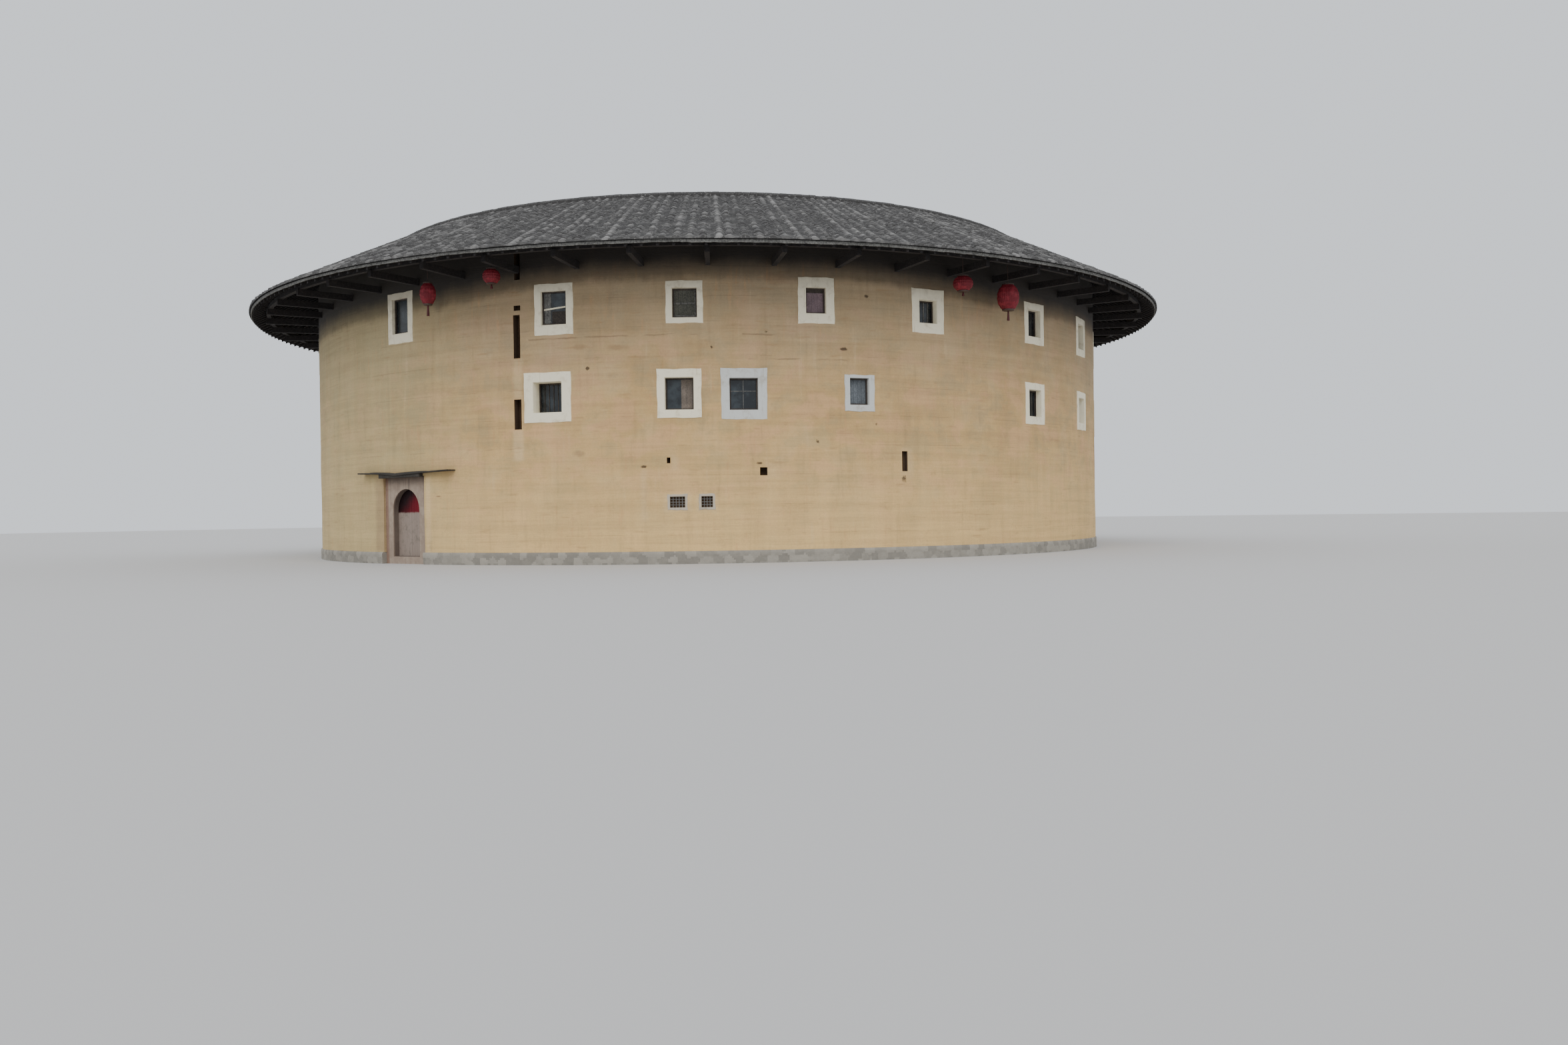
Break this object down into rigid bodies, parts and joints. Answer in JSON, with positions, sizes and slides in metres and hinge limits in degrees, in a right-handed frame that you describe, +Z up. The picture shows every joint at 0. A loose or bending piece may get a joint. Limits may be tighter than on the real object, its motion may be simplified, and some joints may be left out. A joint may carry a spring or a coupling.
{
  "type": "round earth house",
  "caption": "Ring-shaped rammed earth house with a tiled ring roof, arched doorway with two hinged leaves, and timber galleries around an open court.",
  "frame": {"origin": "middle of the courtyard at ground level", "axes": "+Z up, the doorway faces -Y, +X to the right for someone who faces +Y"},
  "size_m": [38.0042, 37.94, 12.34],
  "materials": {
    "earth_wall": "rough rammed earth, worn",
    "stone": "rough field stone",
    "door_plaster": "weathered stone and plaster",
    "dark_timber": "smoke-darkened timber",
    "grey_timber": "weathered grey boards",
    "roof_tile": "unglazed dark grey clay tile",
    "door_paint": "old crimson paint over boards, pale grey below",
    "lantern_cloth": "red cloth over ribs"
  },
  "bodies": {
    "house": {"wall_over_door": "earth_wall", "wall_left_of_door": "earth_wall", "wall_right_of_door": "earth_wall", "wall_segment_1": "earth_wall", "wall_segment_2": "earth_wall", "wall_segment_3": "earth_wall", "wall_segment_4": "earth_wall", "wall_segment_5": "earth_wall", "wall_segment_6": "earth_wall", "wall_segment_7": "earth_wall", "wall_segment_8": "earth_wall", "wall_segment_9": "earth_wall", "wall_segment_10": "earth_wall", "wall_segment_11": "earth_wall", "stone_plinth": "stone", "ground_floor": "stone", "door_surround": "door_plaster", "door_frame": "dark_timber", "door_canopy": "dark_timber", "second_floor": "dark_timber", "third_floor": "dark_timber", "gallery_frame_ground": "dark_timber", "gallery_frame_second": "dark_timber", "gallery_frame_third": "dark_timber", "gallery_railing_second": "dark_timber", "gallery_railing_third": "dark_timber", "roof_frame": "dark_timber", "eave_beams": "dark_timber", "roof_outer_1": "roof_tile", "roof_outer_2": "roof_tile", "roof_outer_3": "roof_tile", "roof_inner_1": "roof_tile", "roof_inner_2": "roof_tile", "roof_inner_3": "roof_tile", "roof_ridge": "roof_tile", "fascia_outer": "grey_timber", "fascia_inner": "grey_timber", "lantern_1": "lantern_cloth", "lantern_2": "lantern_cloth", "lantern_3": "lantern_cloth", "lantern_4": "lantern_cloth"},
    "leaf_left": {"door_leaf_left": "door_paint"},
    "leaf_right": {"door_leaf_right": "door_paint"}
  },
  "joints": [
    {"name": "left_leaf_hinge", "type": "hinge", "parent": "house", "child": "leaf_left", "pos_m": [-0.745, -16.075, 1.43], "axis": [0, 0, 1], "range_deg": [0, 90]},
    {"name": "right_leaf_hinge", "type": "hinge", "parent": "house", "child": "leaf_right", "pos_m": [0.745, -16.075, 1.43], "axis": [0, 0, -1], "range_deg": [0, 90]}
  ]
}
